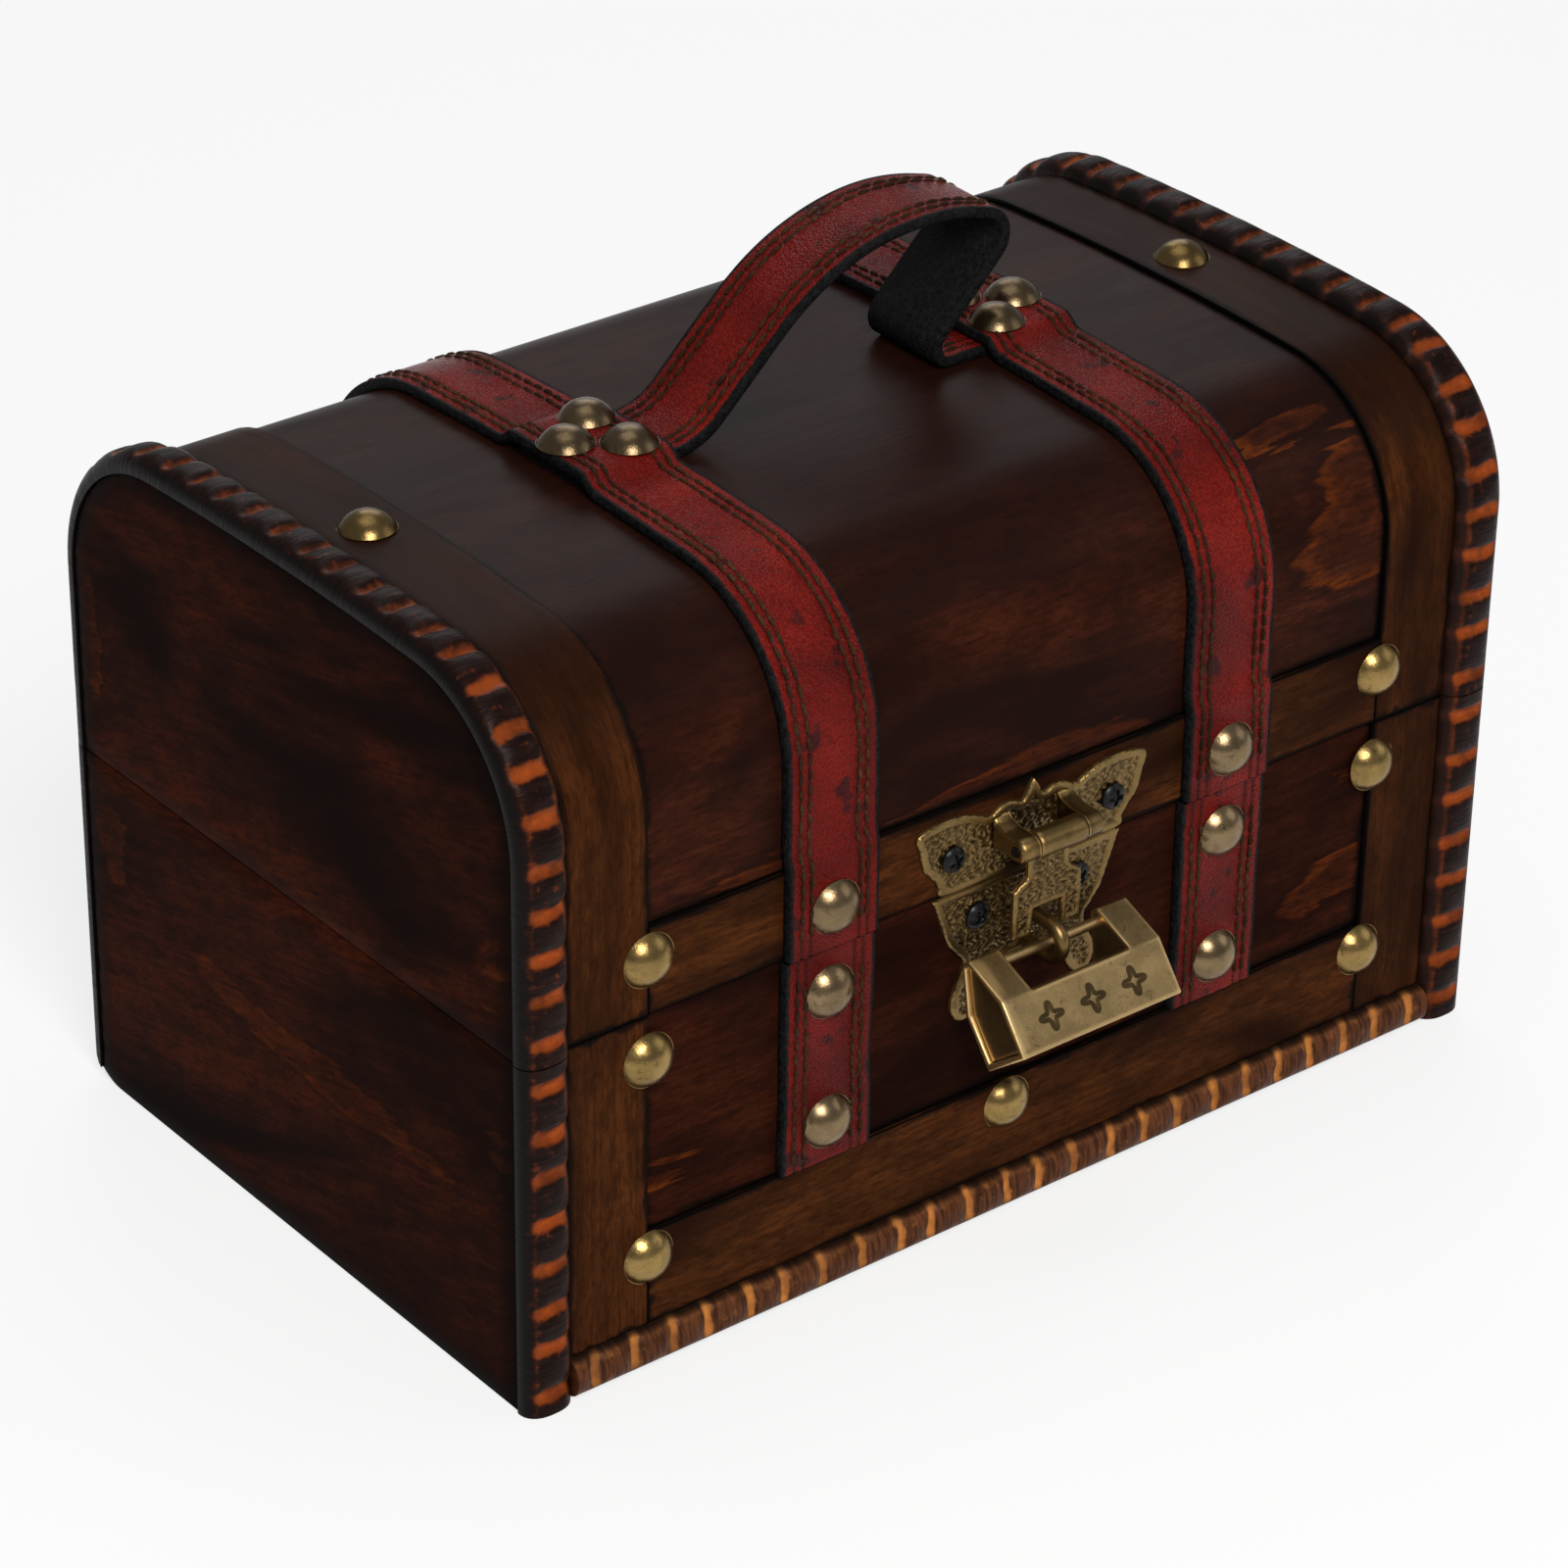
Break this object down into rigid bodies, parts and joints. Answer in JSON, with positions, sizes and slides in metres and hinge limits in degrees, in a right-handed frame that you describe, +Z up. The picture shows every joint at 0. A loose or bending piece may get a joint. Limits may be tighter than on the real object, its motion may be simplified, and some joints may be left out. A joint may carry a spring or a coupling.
{
  "type": "treasure chest box",
  "caption": "Dark wooden treasure chest box with an arched hinged lid, carved rope trims, red leather straps and handle, and a butterfly hasp with a sliding-bar padlock.",
  "frame": {"origin": "on the surface that the box stands on, under the middle of the base", "axes": "+X along the length, to the right as seen from the front; the front faces -Y; +Z up"},
  "size_m": [0.22, 0.16, 0.1667],
  "materials": {
    "wood_panel": "satin varnish over dark figured wood",
    "wood_band": "satin, scorched edges",
    "wood_trim": "carved, scorched, lighter grooves",
    "leather": "stitched and worn",
    "nail_brass": "aged",
    "hasp_brass": "aged relief",
    "hinge_brass": "aged",
    "black_screw": "blackened",
    "lock_brass": "mottled, bright edges",
    "spring_steel": "bare"
  },
  "bodies": {
    "base": {"base_front_panel": "wood_panel", "base_back_panel": "wood_panel", "base_left_end": "wood_panel", "base_right_end": "wood_panel", "base_bottom_panel": "wood_panel", "base_left_band": "wood_band", "base_right_band": "wood_band", "base_bottom_band": "wood_band", "base_left_front_trim": "wood_trim", "base_right_front_trim": "wood_trim", "base_left_back_trim": "wood_trim", "base_right_back_trim": "wood_trim", "base_bottom_trim": "wood_trim", "base_left_strap": "leather", "base_right_strap": "leather", "base_band_nails": "nail_brass", "base_strap_nails": "nail_brass", "hasp_lower_plate": "hasp_brass", "hasp_staple": "hasp_brass", "hasp_lower_screws": "black_screw", "hinge_lower_leaves": "hinge_brass", "hinge_pins": "hinge_brass"},
    "lid": {"lid_shell": "wood_panel", "lid_left_end": "wood_panel", "lid_right_end": "wood_panel", "lid_left_band": "wood_band", "lid_right_band": "wood_band", "lid_front_band": "wood_band", "lid_left_trim": "wood_trim", "lid_right_trim": "wood_trim", "lid_left_strap": "leather", "lid_right_strap": "leather", "lid_handle": "leather", "lid_band_nails": "nail_brass", "lid_strap_nails": "nail_brass", "handle_nails": "nail_brass", "hasp_upper_plate": "hasp_brass", "hasp_pin": "hasp_brass", "hasp_upper_screws": "black_screw", "hinge_upper_leaves": "hinge_brass"},
    "hasp_flap_body": {"hasp_flap": "hasp_brass"},
    "padlock": {"padlock_body": "lock_brass"},
    "padlock_shackle": {"padlock_end_plate": "lock_brass", "padlock_bar": "lock_brass", "padlock_spring_rod": "lock_brass", "padlock_springs": "spring_steel"}
  },
  "joints": [
    {"name": "lid_hinge", "type": "hinge", "parent": "base", "child": "lid", "pos_m": [0, 0.0684, 0.07015], "axis": [-1, 0, 0], "range_deg": [0, 105]},
    {"name": "flap_hinge", "type": "hinge", "parent": "lid", "child": "hasp_flap_body", "pos_m": [0, -0.0742, 0.0788], "axis": [-1, 0, 0], "range_deg": [0, 150]},
    {"name": "padlock_swing", "type": "hinge", "parent": "base", "child": "padlock", "pos_m": [0, -0.0734, 0.057], "axis": [-1, 0, 0], "range_deg": [-25, 22]},
    {"name": "shackle_slide", "type": "slide", "parent": "padlock", "child": "padlock_shackle", "axis": [-1, 0, 0], "range_m": [0, 0.024]}
  ]
}
